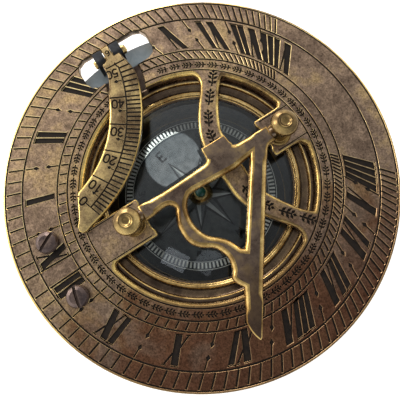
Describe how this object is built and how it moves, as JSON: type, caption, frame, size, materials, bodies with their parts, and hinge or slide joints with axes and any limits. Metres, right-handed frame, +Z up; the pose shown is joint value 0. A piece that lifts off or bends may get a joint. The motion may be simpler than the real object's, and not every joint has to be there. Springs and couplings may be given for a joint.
{
  "type": "sundial compass",
  "caption": "Folding sundial over a round compass: hinged hour ring with Roman hours, folding gnomon, folding latitude arc, card compass under glass.",
  "frame": {"origin": "bottom centre of the base plate, on the axis of the hour ring", "axes": "+Z up, +Y towards XII and the hinge, +X towards the latitude arc"},
  "size_m": [0.1, 0.1, 0.0374],
  "materials": {
    "base_brass": "aged, satin",
    "dark_screw": "blackened",
    "black_liner": "matt",
    "steel": "satin",
    "gasket": "matt",
    "glass": "clear",
    "bezel_brass": "aged, turned",
    "card": "satin with lacquered print",
    "magnet": "blued",
    "hub_brass": "polished",
    "jewel": "polished",
    "small_screw": "aged",
    "dark_brass": "blackened",
    "bright_brass": "worn, polished",
    "arc_brass": "aged, worn edges",
    "dial_brass": "aged, engraved and filled black",
    "gnomon_brass": "aged, worn edges"
  },
  "bodies": {
    "base": {"base_plate": "base_brass", "base_screws": "dark_screw", "compass_bowl": "base_brass", "bowl_liner": "black_liner", "pivot_post": "steel", "glass_gasket": "gasket", "crystal_glass": "glass", "bezel_ring": "bezel_brass", "hinge_lower_leaf": "base_brass", "hinge_lower_screws": "small_screw", "hinge_pin": "steel", "arc_bracket": "dark_brass", "arc_bracket_screws": "small_screw", "arc_pin": "bright_brass"},
    "card": {"compass_card": "card", "card_magnet": "magnet", "card_hub": "hub_brass", "card_jewel": "jewel"},
    "plate": {"dial_plate": "dial_brass", "hinge_upper_leaf": "base_brass", "hinge_screws": "dark_screw", "post_collars": "dark_brass", "north_post": "bright_brass", "south_post": "bright_brass"},
    "gnomon": {"gnomon": "gnomon_brass", "gnomon_pins": "bright_brass"},
    "arc": {"latitude_arc": "arc_brass"}
  },
  "joints": [
    {"name": "card_spin", "type": "hinge", "parent": "base", "child": "card", "pos_m": [0, 0, 0.012], "axis": [0, 0, 1], "continuous": true},
    {"name": "plate_tilt", "type": "hinge", "parent": "base", "child": "plate", "pos_m": [0, 0.0368, 0.0235], "axis": [-1, 0, 0], "range_deg": [0, 60]},
    {"name": "arc_fold", "type": "hinge", "parent": "base", "child": "arc", "pos_m": [0.042, 0, 0.0263], "axis": [0, 1, 0], "range_deg": [0, 90]},
    {"name": "gnomon_fold", "type": "hinge", "parent": "plate", "child": "gnomon", "pos_m": [0, 0, 0.0332], "axis": [0, 1, 0], "range_deg": [0, 90]}
  ],
  "couplings": [
    {"joint": "arc_fold", "follows": "plate_tilt", "ratio": 1.5}
  ]
}
